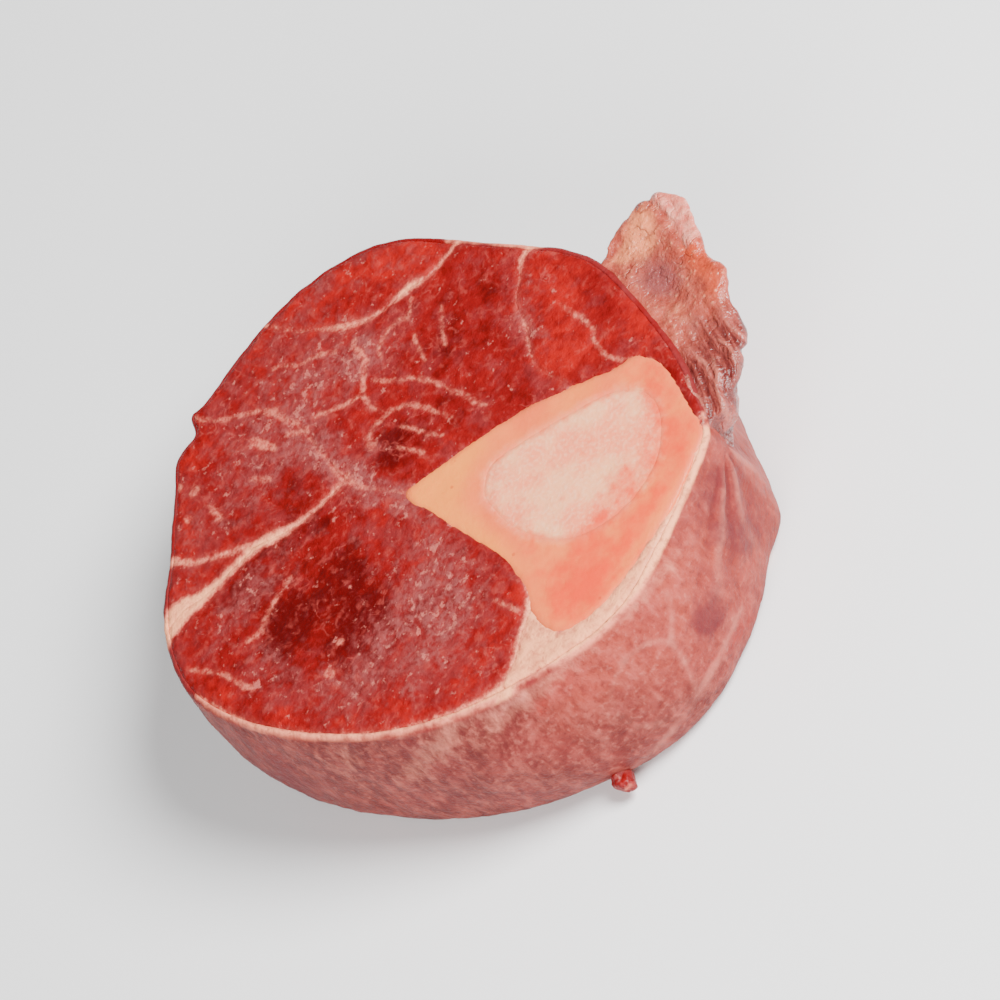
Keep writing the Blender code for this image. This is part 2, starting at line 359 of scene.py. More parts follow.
# %% Muscles
MUSCLES = {
    "heel_muscle": (-40, 0), "strap_muscle": (-56, 43.5), "outer_muscle": (-35, 52), "core_muscle": (12, 35),
    "crown_muscle": (18, 66), "shin_muscle": (46, 12), "bone_side_fat": (-13, -44),
}
RIM_INSET = 0.7
BONE_GAP = 0.2
SLIT_HALF = 0.05
MEAT_VOXEL = 0.6
disc = prism("disc", grown(rim_line, -RIM_INSET), 0.0, THICK)
cut_out(disc, "hole", grown(bone_line, BONE_GAP))
for name, points in SEAMS.items():
    cut_out(disc, name, slit(points, SLIT_HALF))
alone(disc)
mode("EDIT")
bpy.ops.mesh.separate(type="LOOSE")
mode("OBJECT")
loose = list(bpy.context.selected_objects)
muscles = {}
for name, seed in MUSCLES.items():
    for piece in loose:
        if piece.ray_cast(in_frame(*seed, THICK + OVERSHOOT), Vector((0, 0, -1)))[0]:
            muscles[name] = piece
            piece.name = piece.data.name = name
for piece in loose:
    if piece not in muscles.values():
        bpy.data.objects.remove(piece, do_unlink=True)
for piece in muscles.values():
    fine_skin(piece, MEAT_VOXEL)
    fatten(piece, 0.8)
    swell(piece, 0.3)
print(len({piece.name for piece in muscles.values()}), "pieces of meat")

# %% [markdown]
# ## Relief of the cut faces
# A sawn face of raw meat isn't flat: the muscles stand a little above the seams, bundles of fibre part from
# each other, and the edge is rounded. The lower face has the same relief, but only inwards.

# %% Relief of the cut faces
VEINS = [
    [(-57, 19, 0.4), (-53, 18, 0.5), (-49, 20, 0.45), (-40, 22, 0.2)],
    [(-65, 13, 0.4), (-64, 8, 0.4)],
    [(-70, 26, 0.3), (-66, 18, 0.35), (-65, 10, 0.25)],
    [(-14, -28, 0.3), (-12, -36, 0.45)],
    [(-17, 50.7, 0.7), (-13.3, 47, 0.7)],
    [(-14.4, 57.6, 0.3), (-17, 61.3, 0.35), (-19.7, 64.5, 0.3), (-23.5, 68.3, 0.2)],
    [(-8, 67, 0.3), (-5.2, 64.5, 0.3), (-4, 62, 0.3), (-0.4, 60.3, 0.3), (2.8, 57.6, 0.35), (4, 56, 0.2)],
    [
        (-10, 48, 0.3), (-5.7, 44.8, 0.4), (-2.5, 43, 0.4), (0.7, 42, 0.6), (2.8, 43.7, 0.5), (5, 46, 0.6),
        (7, 48, 1), (7.6, 52.8, 0.5), (9.7, 54.4, 0.2),
    ],
    [(0.7, 42, 0.5), (0.1, 37.3, 0.3), (0.7, 34, 0.2)],
    [
        (-6.3, 29.3, 1), (-4.7, 32, 0.5), (-1.5, 32.8, 0.4), (2.3, 32, 0.35), (5.5, 29.3, 0.35),
        (7.6, 25.6, 0.35), (8.7, 21.3, 0.3), (9.7, 17, 0.2),
    ],
    [(1.2, 26.7, 0.25), (2.8, 22.4, 0.3), (4, 18.7, 0.3), (5.5, 15.5, 0.2)],
    [(-3, 23.5, 0.2), (-1.5, 19.7, 0.3), (0, 16, 0.2)],
    [
        (5, 41.6, 0.3), (7.6, 37.3, 0.35), (10.3, 34, 0.4), (12.4, 30.4, 0.45), (13.7, 26, 0.4),
        (14.3, 22.4, 0.35), (15.6, 18, 0.35), (16, 14, 0.3), (17.7, 11, 0.2),
    ],
    [
        (9.7, 44.8, 0.2), (11.3, 47, 0.3), (15, 48.3, 0.3), (18.8, 48, 0.3), (20.4, 46, 0.3),
        (22.5, 48, 0.3), (24, 49, 0.35),
    ],
    [(18.3, 41.6, 0.2), (16.7, 37.3, 0.3), (15.6, 34, 0.2)],
    [(21.2, 32.5, 0.2), (24, 37.3, 0.3), (27.3, 41, 0.2)],
    [
        (44.4, 14.4, 0.2), (45, 9, 0.4), (45, 3, 0.4), (43, 0, 0.3), (42.5, -5, 0.25), (43.5, -9, 0.3),
        (46, -12, 0.3), (48, -16, 0.2),
    ],
    [(-23.2, 57, 0.9), (-21.3, 51, 0.8)],
    [(-29.6, 50, 0.5), (-27.2, 46, 0.4)],
    [(-40.8, 49.6, 0.7), (-40.5, 54.4, 0.5)],
    [(-42, 65.3, 0.9), (-41.9, 65.5, 0.9)],
    [(-40.3, 60.5, 1.4), (-40.2, 60.7, 1.2)],
    [(-46, 56.5, 0.7), (-45.8, 56.3, 0.7)],
    [(-50, -5, 1), (-49.8, -5.2, 1)],
    [(-43.5, -1.5, 0.6), (-43.3, -1.7, 0.6)],
]
FAT = [
    [(40, 53, 0.5), (44.8, 46, 1.2), (48.5, 39, 1.4), (52, 31, 0.7)],
    [(-10.8, -37.5, 0.5), (-12.8, -43, 2.8), (-14.5, -46.5, 4.2), (-22, -46.3, 2), (-30, -43.8, 0.9)],
    [(-5, -30, 0.4), (-9.5, -36, 1.4), (-14, -41, 2.3), (-20, -44.2, 2.2), (-28, -46.5, 1.6)],
    [
        (-14, -49, 3.6), (-5, -52, 3.4), (5, -53.2, 3), (14, -52.2, 2.7), (24, -49.4, 2.4), (36, -44.5, 1.9),
        (44, -40.5, 1.3),
    ],
    [
        (-73.5, 20, 0.3), (-70.3, 3, 0.5), (-62.8, -12.5, 0.5), (-52.3, -27.3, 0.5), (-40, -38.2, 0.7),
        (-28, -45.3, 1.1),
    ],
]
SOFT_SEAMS = ("middle", "outer")
UPPER_SEED = 30


def seam_field(flat):
    """Millimetres from the nearest seam or band of fat, below zero inside it."""
    lines = [points for name, points in SEAMS.items() if name not in SOFT_SEAMS]
    return nearest_line(flat, [*lines, *FAT])


def vein_field(flat):
    return nearest_line(flat, [*VEINS, *(SEAMS[name] for name in SOFT_SEAMS)])


def grain(points, size, seed=0.0, octaves=3):
    """Soft noise between about -1 and 1 with bumps of the given size in millimetres."""
    shift = Vector((seed, seed, seed))
    return np.array([noise.fractal(Vector(p) / size + shift, 0.8, 2.0, octaves) for p in points])


def rough(points, *layers):
    """Soft noise in layers: how high each stands, the size of its bumps, its seed and its octaves."""
    return sum(high * grain(points, size, seed, octaves) for high, size, seed, octaves in layers)


def face_relief(flat, layer):
    spots = np.column_stack([flat, np.broadcast_to(layer, len(flat))])
    return rough(spots, (0.4, 13, 3.1, 2), (0.2, 4.2, 7.7, 2), (0.06, 1.7, 1.9, 2))


def near_faces(heights, full, none):
    """The shares of each point in the upper and the lower face, and which points have one."""
    upper = smoothstep(heights, THICK - none, THICK - full)
    lower = 1 - smoothstep(heights, full, none)
    return upper, lower, np.nonzero(upper + lower > 0)[0]


def shape_faces(piece):
    points = drawn(piece)
    flat = points[:, :2].copy()
    seam, vein = seam_field(flat), vein_field(flat)
    edge = rim_reach(turn_of(flat)) - reach_of(flat)
    upper, lower, touched = near_faces(points[:, 2], 0.5, 2.5)
    relief = np.zeros(len(points))
    relief[touched] = face_relief(flat[touched], UPPER_SEED * (points[touched, 2] > THICK / 2))
    seam_dip = 0.22 * np.exp(-np.clip(seam, 0, None) ** 2 / 1.1)
    relief -= seam_dip + 0.05 * np.exp(-np.clip(vein, 0, None) ** 2 / 0.3)
    relief -= 0.4 * (1 - smoothstep(edge, 0.2, 1.6)) ** 2
    points[:, 2] += upper * relief + lower * np.clip(0.28 - relief, 0, 1.2)
    put_back(piece, points)
    remember(piece, seam=seam, vein=vein)


def remember(piece, **fields):
    for name, values in fields.items():
        kept = piece.data.attributes.new(name, "FLOAT", "POINT")
        kept.data.foreach_set("value", np.asarray(values, np.float32))


# %% [markdown]
# ## Colour of the meat
# Meat that has met the air is bright red, meat from deep in the muscle is maroon, and where the saw has
# smeared fat a frosty pink lies over it, which also carries a painted wet sheen. Each is kept as soft
# patches on the drawing.

# %% Colour of the meat
DARK = [
    (-49, 12, 8, 5.5, 1.3), (-37, -4, 7, 5.5, 1.4), (-31, 8, 6, 8, 0.8), (-43, 3, 12, 9, 0.25),
    (-36, 47, 11, 9, 0.4), (-22, 42, 6, 8, 0.45), (-3, 25, 6, 7, 0.9), (26, 30, 10, 10, 0.5),
    (12, 18, 5, 8, 0.35), (36, 37, 6, 8, 0.35), (22, 6, 5, 5, 0.5), (-40, 28, 26, 8, 0.5),
    (-24, -16, 14, 14, 0.45), (-48, -13, 11, 10, 0.4), (50, -26, 3, 10, 0.55), (-46, 14, 26, 26, 0.25),
    (8, 52, 14, 8, 0.2), (-25.6, 24.8, 1.6, 1.6, 1),
]
BRIGHT = [
    (-69, 20, 4, 9, 0.8), (-64, -6, 4, 9, 0.6), (-48, -26, 10, 6, 0.6), (-26, -37, 14, 5, 0.65),
    (38, 4, 7, 10, 0.9), (46, 20, 8, 12, 0.9), (-50, 54, 5, 8, 0.8), (-36, 68, 9, 6, 0.6),
    (20, 65, 18, 9, 0.6), (32, 58, 10, 7, 0.5), (-9.5, -31, 3, 4, 0.7), (-58, 44, 5, 3, 1),
    (52, -8, 5, 10, 0.8), (36, 56, 5, 6, 0.7), (-56, -16, 6, 5, 0.5), (0, 75, 30, 4, 0.3),
]
# Frosty pink patches: partly smeared fat, partly a painted wet sheen.
HAZE = [
    (-24, -20, 13, 11, 0.85), (-20, -6, 11, 9, 0.55), (-50, 29, 18, 6, 0.4), (-22, 56, 18, 16, 0.5),
    (0, 56, 16, 12, 0.45), (-15, 38, 5, 12, 0.75), (7, 49, 6, 5, 0.8), (-49, -12, 11, 9, 0.6),
    (30, 60, 8, 8, 0.35), (-5, 28, 4, 4, 0.5), (8, 72, 22, 6, 0.35), (42, 26, 8, 8, 0.35),
    (36, 18, 4, 7, 0.6), (-36, -10, 7, 4, 0.5), (-12, 2, 5, 14, 0.35), (15, 44, 9, 6, 0.3),
    (-14, 24, 4, 8, 0.9), (-10, 12, 3, 6, 0.7), (-36, 47, 14, 8, 0.3), (-48, 26, 14, 5, 0.35),
    (-50, 54, 6, 6, 0.5), (-59, 6, 7, 12, 0.4), (-38, -3, 6, 4, 0.1), (-28, -38, 12, 4, 0.3),
    (-38, -25, 8, 7, 0.35), (-22, 12, 6, 9, 0.3), (-56, 12, 6, 7, 0.25), (-57, 45, 5, 3, 0.4),
]


def patches(flat, blobs):
    total = np.zeros(len(flat))
    for x, y, wide, tall, amount in blobs:
        total += amount * np.exp(-(((flat[:, 0] - x) / wide) ** 2) - ((flat[:, 1] - y) / tall) ** 2)
    return np.clip(total, 0, 1.2)


def darkness(flat):
    """Above zero where the meat is maroon, below zero where it is bright."""
    return patches(flat, DARK) - 0.7 * patches(flat, BRIGHT)


for piece in muscles.values():
    shape_faces(piece)
    flat = drawn(piece)[:, :2]
    remember(piece, dark=darkness(flat), haze=patches(flat, HAZE))
    lean(piece)
print("patches", len(DARK) + len(BRIGHT) + len(HAZE))

# %% [markdown]
# ## Bone and spongy core
# The shaft is a thick ring of dense bone, smooth as soap where the saw went through. The spongy core inside
# it is a net of fine bone with marrow in its pores, so it is matt and grainy. The two grow into each other
# without a gap.

# %% Bone and spongy core
def dense(piece, voxel, edge_line, drop):
    fine_skin(piece, voxel)
    fatten(piece, 0.45 if drop else 0.9)
    points = drawn(piece)
    gap = outline_distance(points, edge_line)
    upper, lower, touched = near_faces(points[:, 2], 0.3, 2)
    relief = np.zeros(len(points))
    relief[touched] = rough(points[touched], (0.14, 9, 1.3, 2), (0.05, 2.5, 5.3, 2))
    relief -= drop * (1 - smoothstep(gap, 0, 1.6)) ** 2 if drop else 0.05
    points[:, 2] += upper * relief + lower * np.clip(0.2 - relief, 0, 1)
    put_back(piece, points)


bone = prism("sawn_bone", grown(bone_line, 0.15), 0.0, THICK)
cut_out(bone, "core_hole", grown(core_line, -0.25))
dense(bone, MEAT_VOXEL, bone_line, 0.14)
core = prism("spongy_core", core_line, 0.0, THICK)
dense(core, MEAT_VOXEL, core_line, 0.0)

BLUSH = [
    (-1, -44, 9, 8, 1), (12, -45, 9, 4, 0.6), (27, -43, 10, 3, 0.5), (-3, -34, 5, 6, 0.35),
    (15, -35, 2.2, 2, 0.7), (15, -50.5, 2.4, 1.6, 1), (38, -38, 6, 4, 0.5), (8, -37, 6, 3, 0.55),
    (1, -24, 2.5, 8, 0.4), (31, -17.5, 1.2, 1.2, 0.4), (26, -35, 14, 5, 0.62), (40, -28, 3, 7, 0.5),
    (45, -20, 5, 9, 0.7), (28, -31, 12, 5, 0.25), (20, -43, 16, 4, 0.2), (24, -14, 10, 5, 0.12),
]
YELLOW = [
    (-6, 6, 9, 8, 0.9), (4, 6, 12, 4, 0.7), (-6, -14, 4, 16, 0.8), (34, -6, 10, 5, 0.5),
    (48, -16, 4, 6, 0.15),
]
for piece in (bone, core):
    flat = drawn(piece)[:, :2]
    ring = outline_distance(flat, core_line) * np.where(inside(flat, core_line), -1, 1)
    edge = outline_distance(flat, bone_line)
    remember(piece, blush=patches(flat, BLUSH), yellow=patches(flat, YELLOW), ring=ring, edge=edge)
    lean(piece)

# %% [markdown]
# ## Membrane
# The wall is a tough, thin skin of silver and pink, stretched over the muscles. It is made as one closed
# band: up the outside, over the lip at the cut face and down the inside. It wrinkles where it runs up to the
# flap of fat.

# %% Membrane
LIP_OUTSIDE = [(0.08, 1.15), (0.25, 0.85), (0.5, 0.65), (0.8, 0.52)]
LIP_INSIDE = [(1.15, 0.5), (1.4, 1), (1.6, 4)]
INNER_SIDE = [(1.8, 20), (2, 6), (1.6, 1), (0.8, 0.3)]
WAIST_TURN = math.radians(-51)
WAIST_HEIGHT = 37.0


def make_membrane(columns):
    """The closed band, and the number of points on its outer side."""
    heights = [*np.linspace(0.0, BASE_CORNER, 7), *np.linspace(BASE_CORNER, THICK - 1.5, 54)[1:]]
    rows = [(0.0, z) for z in heights]
    rows += [(inset, THICK - drop) for inset, drop in LIP_OUTSIDE]
    outer_count = len(rows) * columns
    rows += [(inset, THICK - drop) for inset, drop in LIP_INSIDE] + INNER_SIDE
    line = np.array(smooth_loop(RIM, 40))
    steps = np.hypot(*(np.roll(line, -1, axis=0) - line).T)
    length = np.concatenate([[0], np.cumsum(steps)])
    wanted = np.linspace(0, length[-1], columns, endpoint=False)
    closed = np.vstack([line, line[:1]])
    x, y = np.interp(wanted, length, closed[:, 0]), np.interp(wanted, length, closed[:, 1])
    turn = turn_of(np.column_stack([x, y]))
    points = []
    for inset, z in rows:
        below_rim = min(z, THICK - RIM_CORNER - 0.01)
        offset = wall_offset(turn, np.full(columns, below_rim)) - inset
        ring = [x + np.cos(turn) * offset, y + np.sin(turn) * offset, np.full(columns, z)]
        points.append(np.column_stack(ring))
    faces = []
    for r in range(len(rows)):
        s = (r + 1) % len(rows)
        for c in range(columns):
            d = (c + 1) % columns
            faces.append((r * columns + c, r * columns + d, s * columns + d, s * columns + c))
    mesh = bpy.data.meshes.new("membrane")
    mesh.from_pydata(((np.concatenate(points) - MIDDLE) * MM).tolist(), [], faces)
    mesh.shade_smooth()
    return linked("membrane", mesh), outer_count


def wrinkle(piece, outer_count):
    """Mottled relief on the outer side, and folds that fan out below the flap's waist."""
    points = drawn(piece)
    outer = np.zeros(len(points))
    outer[:outer_count] = 1
    outer *= smoothstep(points[:, 2], 0.0, 2.5)
    outer *= 1 - 0.6 * smoothstep(points[:, 2], THICK - 2.5, THICK - 0.5)
    touched = np.nonzero(outer)[0]
    move = np.zeros(len(points))
    spots = points[touched]
    tall = spots * (1, 1, 0.45)
    move[touched] = 0.55 * grain(spots, 16, 2.2, 2) + 0.2 * grain(tall, 5, 9.1, 3)
    move[touched] += 0.07 * grain(spots, 1.7, 4.4, 2)
    side, drop = (turn_of(points) - WAIST_TURN) * 60, WAIST_HEIGHT - points[:, 2]
    spread, away = np.arctan2(side, np.maximum(drop, 0.5)), np.hypot(side, drop)
    sway = grain(points * (1, 1, 0.5), 9, 6.6, 2)
    fold = np.sin(spread * 11 + 1.6 * sway) * np.exp(-((away / 26) ** 2))
    fold = fold * smoothstep(drop, -3, 4) * smoothstep(away, 1, 6)
    fold *= 1 - smoothstep(np.abs(spread), 1.1, 1.5)
    push_out(points, (move + 0.5 * fold) * outer)
    lip = smoothstep(points[:, 2], THICK - 2.2, THICK - 1)
    touched = np.nonzero(lip)[0]
    points[touched, 2] += lip[touched] * face_relief(points[touched, :2], UPPER_SEED)
    put_back(piece, points)
    remember(piece, fold=fold * outer)


membrane, outer_count = make_membrane(760)
wrinkle(membrane, outer_count)
lean(membrane)
print("membrane", len(membrane.data.polygons), "faces")

# %% [markdown]
# ### Marks on the membrane
# Pale veins, a bruise, a few red specks and the warmer right side are soft patches too. They are drawn as
# they look from above the near edge, so height is folded into the second coordinate.

# %% Marks on the membrane
SIDE_FOLD = 0.869
SIDE_VEINS = [
    [
        (-15, -76, 0.1), (-12.5, -70, 0.2), (-6, -67, 0.3), (0, -68, 0.2), (4, -73, 0.2), (3, -80, 0.1),
        (0, -88, 0.1),
    ],
    [(-15, -76, 0.1), (-14.5, -82, 0.2), (-10, -87, 0.1)],
    [(4, -73, 0.1), (9, -68, 0.2), (12, -62, 0.1)],
    [(-22, -90, 0.3), (-12, -91, 0.4), (0, -89.5, 0.4), (12, -86, 0.3), (20, -83, 0.2)],
    [(-60, -12, 0.2), (-52, -28, 0.3), (-40, -43, 0.3), (-26, -52, 0.2)],
]
BRUISE = [
    (13.5, -78, 4, 4, 1.3), (15, -76, 8, 7, 0.5), (38, -52, 9, 6, 0.8), (-10, -76, 8, 6, 0.25),
    (32, -66, 9, 12, 0.9), (-77, -16, 10, 22, 0.8),
]
RED = [
    (12, -87, 12, 1.8, 0.9), (30, -77, 6, 2, 0.5), (-25, -58, 2, 2, 0.9), (-18, -56, 6, 5, 0.45),
    (-14, -66, 8, 5, 0.3), (2, -58, 3, 3, 0.4), (36, -62, 3, 8, 0.4), (42, -55, 2, 8, 0.4),
    (-30, -88, 16, 1.5, 0.4), (-66, -44, 8, 3, 0.3),
]
WARM = [(20, -64, 40, 30, 1), (50, -30, 25, 30, 0.5), (-16, -60, 14, 12, 0.4)]
PALE = [
    (-46, -42, 14, 5, 0.6), (-31, -51, 14, 4, 0.5), (-18, -54, 10, 4, 0.5), (4, -58, 14, 3, 0.5),
    (-62, -24, 6, 10, 0.4), (16, -58, 10, 4, 0.3),
]

points = drawn(membrane)
seen = np.column_stack([points[:, 0], points[:, 1] - SIDE_FOLD * (THICK - points[:, 2])])
near = 1 - smoothstep(points[:, 1], 15, 35)
remember(
    membrane,
    bruise=patches(seen, BRUISE) * near,
    red=patches(seen, RED) * near,
    warm=patches(seen, WARM),
    pale=patches(seen, PALE) * near,
    vein=nearest_line(seen, SIDE_VEINS, 4) + 9 * (1 - near),
    seam=seam_field(points[:, :2]),
    dark=darkness(points[:, :2]),
)
print("marks on", len(points), "points")

# %% [markdown]
# ## Flap of fat and tendon
# Beside the bone a ragged flap of fat, tendon and silver skin stands off the wall. It is thick at its root
# and torn thin along its outer edge. It is lofted through cross-sections that run from its root round the
# edge and back.

# %% Flap of fat and tendon
FLAP = [
    (42, -42.3, 45.4, -43.8, 36, 30), (45.5, -39, 50.4, -41, 39, 27), (48, -34.5, 55.4, -37.2, 41.5, 23),
    (50, -29.5, 62, -32.6, 42.5, 19), (51.5, -24.5, 67.6, -27, 42, 16), (53, -18.5, 70, -20.5, 43.5, 16),
    (54, -13, 74, -14, 44.5, 17), (55, -8, 73, -8.5, 43.5, 19), (56, -3, 75.5, -3, 44.5, 21),
    (56.6, 2, 79, 3, 45.5, 23), (57, 7, 79.5, 9.5, 45.5, 27), (56.8, 11, 74.5, 16.5, 44.5, 32),
    (56.3, 14.5, 64, 17.5, 42.5, 37),
]
FLAP_ROOT = 3.0
FLAP_TOP = 42.9
FLAP_EDGE = 2.4
FLAP_STEPS = 9
FLAP_SINK = 3.5
FLAP_VOXEL = 0.55
LOBE_FOLD = [(75.5, 19, 0), (74.6, 13, 0), (74.2, 7.4, 0), (72.6, 2, 0), (71.2, -2.5, 0)]


def flap_section(station):
    root_x, root_y, tip_x, tip_y, tip_z, low_z = station
    way = np.array((tip_x - root_x, tip_y - root_y))
    inward = way / np.hypot(*way) * FLAP_ROOT
    profile = [
        (-inward, FLAP_TOP - 1.5),
        (way * 0.02, FLAP_TOP),
        (way * 0.35, FLAP_TOP - 0.4),
        (way * 0.7, (FLAP_TOP + tip_z) / 2 + 0.5),
        (way * 0.95, tip_z),
        (way, tip_z - FLAP_EDGE / 2),
        (way * 0.94, tip_z - FLAP_EDGE),
        (way * 0.6, tip_z * 0.72 + low_z * 0.28 - FLAP_EDGE),
        (way * 0.25, tip_z * 0.38 + low_z * 0.62 - FLAP_EDGE / 2),
        (-inward, low_z),
    ]
    return smooth_loop([(root_x + step[0], root_y + step[1], height) for step, height in profile], 6)


def make_flap():
    sections = [flap_section(station) for station in smooth_path(FLAP, FLAP_STEPS)]
    ring = len(sections[0])
    work = bmesh.new()
    rings = [[work.verts.new(in_frame(*point)) for point in section] for section in sections]
    for one, two in zip(rings, rings[1:]):
        for i in range(ring):
            work.faces.new((one[i - 1], one[i], two[i], two[i - 1]))
    work.faces.new(rings[0])
    work.faces.new(rings[-1][::-1])
    bmesh.ops.recalc_face_normals(work, faces=work.faces)
    mesh = bpy.data.meshes.new("fat_flap")
    work.to_mesh(mesh)
    work.free()
    piece = linked("fat_flap", mesh)
    fine_skin(piece, FLAP_VOXEL)
    return piece


def flap_place(points):
    """Where points lie on the flap: the nearest cross-section, and how far out from the root."""
    nearest, along, across = np.full(len(points), 1e9), np.zeros(len(points)), np.zeros(len(points))
    for k, station in enumerate(smooth_path(FLAP, FLAP_STEPS)):
        root, way = np.array(station[:2]), np.subtract(station[2:4], station[:2])
        share = np.clip((points[:, :2] - root) @ way / (way @ way), -0.3, 1.1)
        gap = np.hypot(*(points[:, :2] - root - share[:, None] * way).T)
        closer = gap < nearest
        nearest[closer] = gap[closer]
        along[closer] = k / FLAP_STEPS
        across[closer] = share[closer] * np.hypot(*way)
    return along, across


def drape(piece):
    """Lengthwise folds at the flap's waist, smooth lumps above, and a crease behind the pale lobe."""
    points = drawn(piece)
    along, across = flap_place(points)
    waist = 1 - smoothstep(along, 3.2, 6.5)
    sway = grain(points, 8, 14.0, 2)
    fold = 0.75 * np.sin(across * 1.15 + 0.9 * along + 2.6 * sway)
    fold += 0.3 * np.sin(across * 3.1 - along + 4 * sway)
    crease = line_distance(points[:, :2], LOBE_FOLD)
    move = 0.7 * fold * waist + (1 - 0.6 * waist) * 0.95 * grain(points, 8.5, 11.0, 2)
    small_lumps = 0.28 * grain(points, 3.1, 17.0, 2) * smoothstep(along, 3, 6)
    move += small_lumps - 0.8 * np.exp(-((crease / 0.8) ** 2))
    points += each_point(piece, "normal") * move[:, None]
    push_out(points, FLAP_SINK * (smoothstep(along, 0, 1.6) - 1))
    put_back(piece, points)
    fold_x, fold_y, _ = np.transpose(LOBE_FOLD[::-1])
    border = np.interp(points[:, 1], fold_y, fold_x)
    lobe = smoothstep(points[:, 0] - border, 0, 0.8) * smoothstep(points[:, 1], -4, -2)
    remember(piece, along=along, across=across, fold=fold * waist, waist=waist, lobe=lobe)


flap = make_flap()
drape(flap)
FLAP_RUST = [(71.5, -9, 4, 7, 1), (68, -17, 4, 4, 0.6), (73, -3, 3, 3, 0.6), (60, 11, 4, 3, 0.3)]
FLAP_BRUISE = [(63, -1, 5, 6, 0.9), (60, -18, 4, 8, 0.4), (53, -36, 4, 5, 0.6)]
FLAP_CREAM = [(66, 9, 6, 5, 0.9), (60, -12, 3, 8, 0.6), (70, 13, 4, 4, 0.9), (61, 12, 4, 3, 0.6)]
points = drawn(flap)
flat = points[:, :2]
remember(flap, rust=patches(flat, FLAP_RUST), bruise=patches(flat, FLAP_BRUISE))
remember(flap, cream=patches(flat, FLAP_CREAM), height=points[:, 2])
lean(flap)
print("flap", len(flap.data.polygons), "faces")

# %% [markdown]
# ## Tag of meat
# A shred of red meat was left hanging at the foot of the wall when the slice was trimmed.

# %% Tag of meat
TAG_HALF_SIZE = (2.6, 5.3, 3.0)
TAG_MIDDLE = (-24.5, -52.4, 4.4)
TAG_VOXEL = 0.35
bpy.ops.mesh.primitive_uv_sphere_add(segments=32, ring_count=24, radius=1.0, location=(0, 0, 0))
tag = bpy.context.object
tag.name = tag.data.name = "meat_tag"
ball = each_point(tag, "co") * TAG_HALF_SIZE
ball[:, 0] += 0.9 * np.sin(ball[:, 1] / 1.7)
put_back(tag, ball + TAG_MIDDLE)
apply(tag, "REMESH", mode="VOXEL", voxel_size=TAG_VOXEL * MM)
points = drawn(tag)
move = rough(points, (0.55, 6.5, 21.0, 3), (0.5, 2.2, 24.0, 3))
points += each_point(tag, "normal") * move[:, None]
points[:, 2] = np.clip(points[:, 2], 0.15, None)
put_back(tag, points)
tag.data.shade_smooth()
count = len(points)
remember(tag, seam=np.full(count, 4.0), vein=grain(points, 3.0, 2.0, 2) * 2 + 1.2)
remember(tag, dark=np.zeros(count), haze=np.full(count, 0.25))
lean(tag)
print("tag", count, "points")

# %% [markdown]
# ## Shader building blocks
# A finish is built from soft noise, cells and the fields kept on each mesh. These helpers add a node or two
# each, so a finish below reads as a recipe. Sizes of noise and heights of bumps are in millimetres.

# %% Shader building blocks
def rgb(red, green, blue):
    """Colour values as seen on a screen, from 0 to 255, as the light they stand for."""
    shares = [value / 255 for value in (red, green, blue)]
    return (*[s / 12.92 if s <= 0.04045 else ((s + 0.055) / 1.055) ** 2.4 for s in shares], 1.0)


